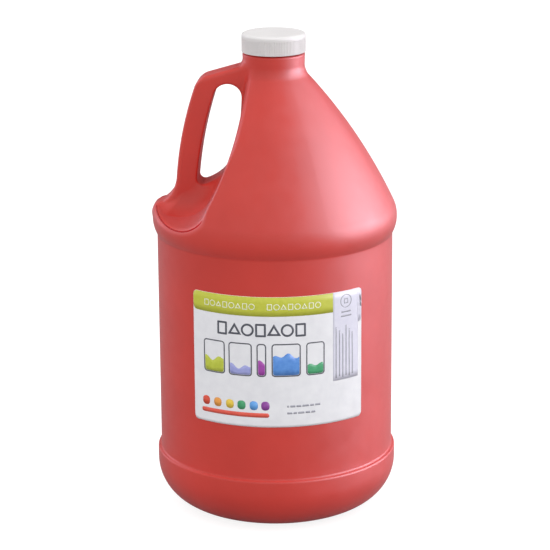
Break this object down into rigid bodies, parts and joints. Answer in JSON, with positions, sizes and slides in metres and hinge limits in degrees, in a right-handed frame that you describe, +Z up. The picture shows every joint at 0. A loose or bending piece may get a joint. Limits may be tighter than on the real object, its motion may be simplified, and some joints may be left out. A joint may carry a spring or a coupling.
{
  "type": "handled paint jug",
  "caption": "Round gallon jug of liquid paint with a moulded-in hollow handle, a narrow threaded neck, a ribbed screw cap and a wrap-on front label.",
  "frame": {"origin": "centre of the round body on the surface the jug stands on", "axes": "+Z up along the neck's axis, -X towards the handle, -Y towards the front; the label's middle is 6.35 degrees from -Y towards +X"},
  "size_m": [0.1546, 0.1546, 0.305],
  "materials": {
    "jug_plastic": "satin",
    "cap_plastic": "satin",
    "liner_foam": "matte",
    "label_film": "satin",
    "paint": "gloss"
  },
  "bodies": {
    "jug": {"jug": "jug_plastic", "label": "label_film", "paint": "paint"},
    "liner": {"cap_liner": "liner_foam"},
    "cap": {"cap": "cap_plastic"}
  },
  "joints": [
    {"name": "cap_lift", "type": "slide", "parent": "jug", "child": "liner", "axis": [0, 0, 1], "range_m": [0, 0.00953]},
    {"name": "cap_turn", "type": "hinge", "parent": "liner", "child": "cap", "pos_m": [0, 0, 0.2933], "axis": [0, 0, 1], "range_deg": [0, 810]}
  ],
  "couplings": [
    {"joint": "cap_lift", "follows": "cap_turn", "m_per_rad": 0.0006737}
  ]
}
